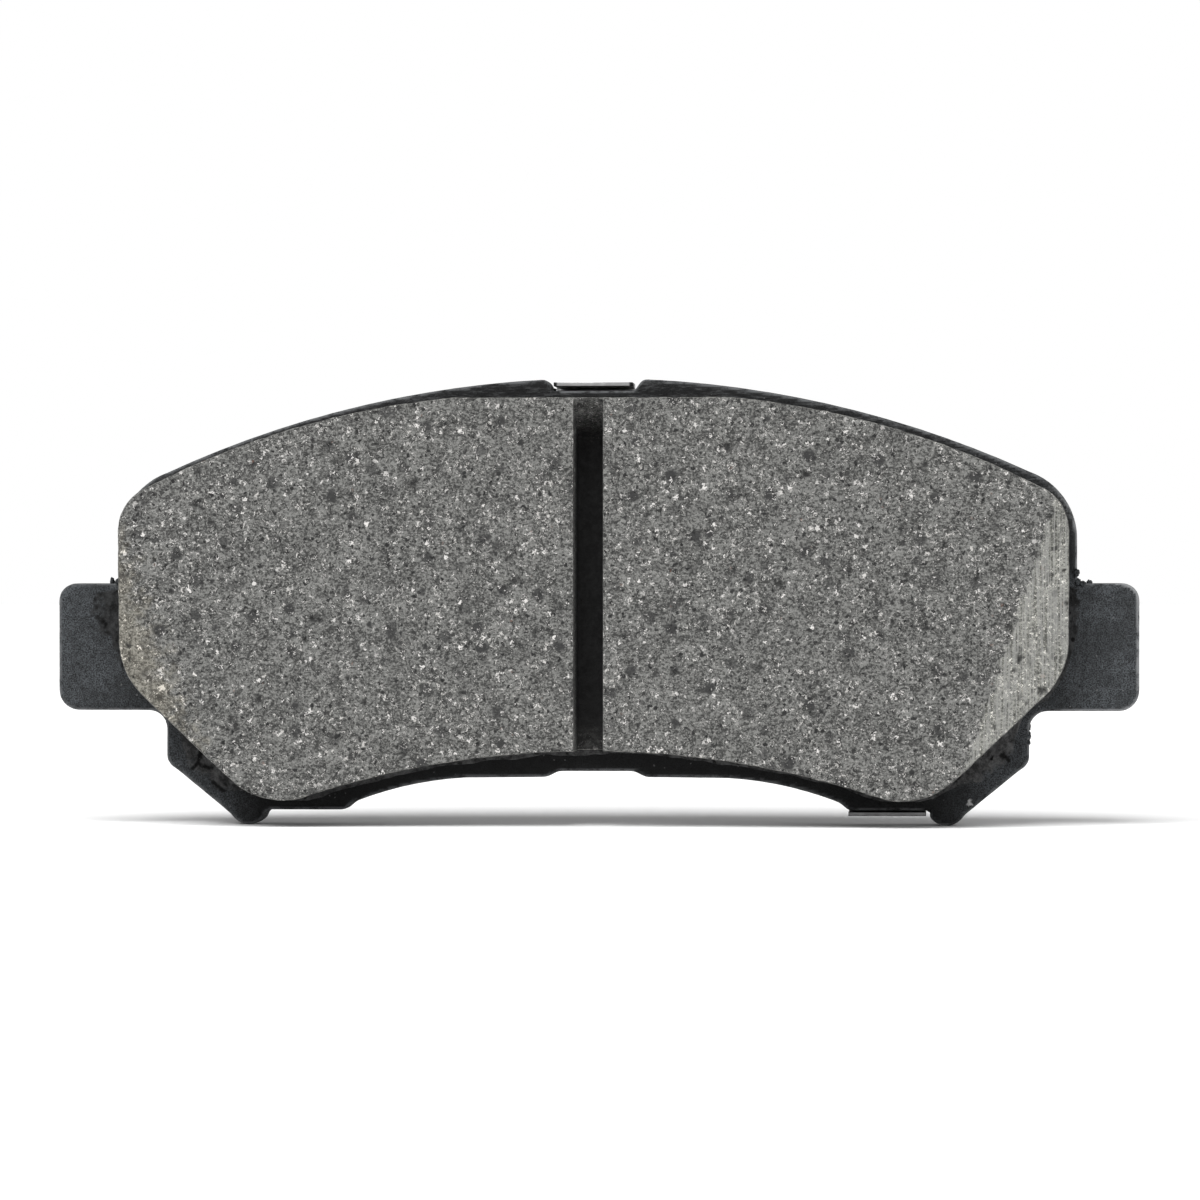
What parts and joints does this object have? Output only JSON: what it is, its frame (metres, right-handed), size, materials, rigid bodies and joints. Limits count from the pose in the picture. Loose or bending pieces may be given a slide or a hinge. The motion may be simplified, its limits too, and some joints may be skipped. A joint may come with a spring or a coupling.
{
  "type": "disc brake pad",
  "caption": "Front disc brake pad: arched friction lining with one slot and end chamfers on a black steel plate with guide ears and a clip-on steel shim cover.",
  "frame": {"origin": "centre of the piston contact on the rear face of the shim cover", "axes": "+Y out of the rear face toward the caliper piston, along the disc's axis; +Z radially outward from the disc's centre; +X along the pad, to the right when looking at the friction face"},
  "size_m": [0.1376, 0.017, 0.0566],
  "materials": {
    "plate_coat": "satin black powder coat over stamped steel",
    "lining_adhesive": "cured phenolic adhesive",
    "underlayer": "moulded friction underlayer",
    "friction_material": "ground, speckled friction composite",
    "shim_adhesive": "pressure-sensitive acrylic adhesive",
    "shim_rubber": "thin nitrile rubber coat",
    "shim_steel": "cold rolled steel",
    "cover_steel": "rolled stainless sheet"
  },
  "bodies": {
    "pad": {"backing_plate": "plate_coat", "adhesive_film": "lining_adhesive", "underlayer": "underlayer", "friction_lining": "friction_material", "shim_adhesive_film": "shim_adhesive", "damping_shim_front_rubber": "shim_rubber", "damping_shim_core": "shim_steel", "damping_shim_rear_rubber": "shim_rubber"},
    "cover": {"shim_cover": "cover_steel"}
  },
  "joints": [
    {"name": "cover_float", "type": "slide", "parent": "pad", "child": "cover", "axis": [1, 0, 0], "range_m": [-0.0002, 0.0002]}
  ]
}
